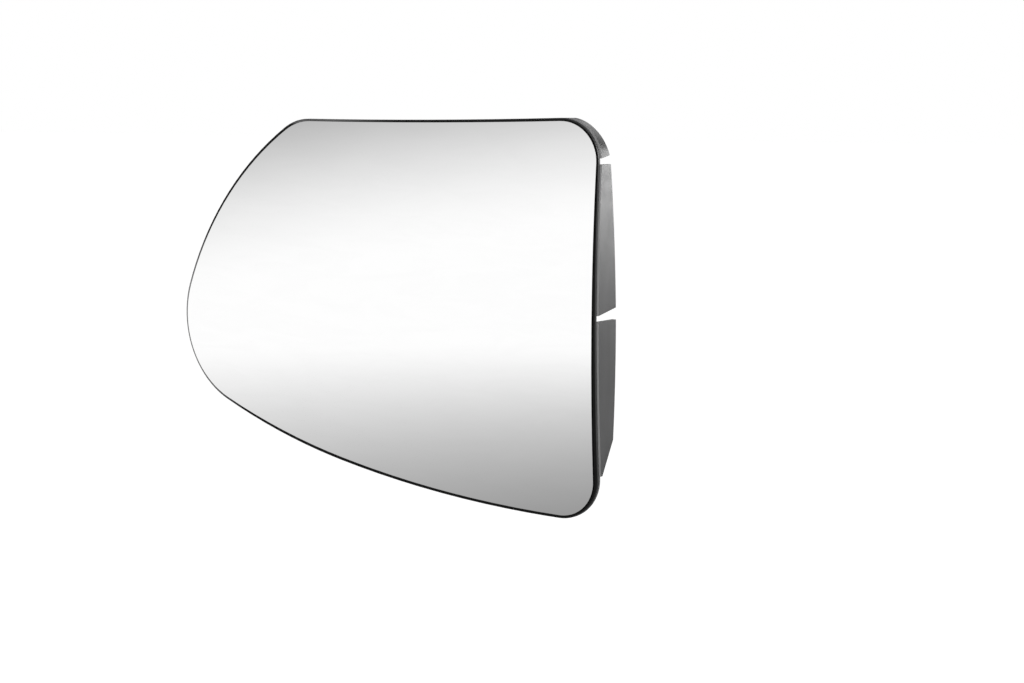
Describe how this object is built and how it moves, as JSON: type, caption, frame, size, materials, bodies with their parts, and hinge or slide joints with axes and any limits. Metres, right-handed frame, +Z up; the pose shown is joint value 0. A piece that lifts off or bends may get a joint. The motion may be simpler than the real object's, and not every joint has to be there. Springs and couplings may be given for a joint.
{
  "type": "car door mirror glass",
  "caption": "Convex door mirror glass bonded to a black backing plate with a slotted inner skirt, clip socket and heater blades on the back.",
  "frame": {"origin": "on the adjuster's axis, in the plane where the adjuster's disc seats on the socket", "axes": "+Z up, the glass faces -Y, +X towards the car (the inner side of the mirror)"},
  "size_m": [0.1756, 0.0185, 0.133],
  "materials": {
    "mirror": "polished",
    "film": "satin",
    "terminal": "stamped",
    "rivet": "plain",
    "plate": "fine moulded texture"
  },
  "bodies": {
    "root": {"mirror_glass": "mirror", "heater_film": "film", "terminal_upper": "terminal", "terminal_lower": "terminal", "terminal_rivets": "rivet", "backing_plate": "plate"}
  },
  "joints": []
}
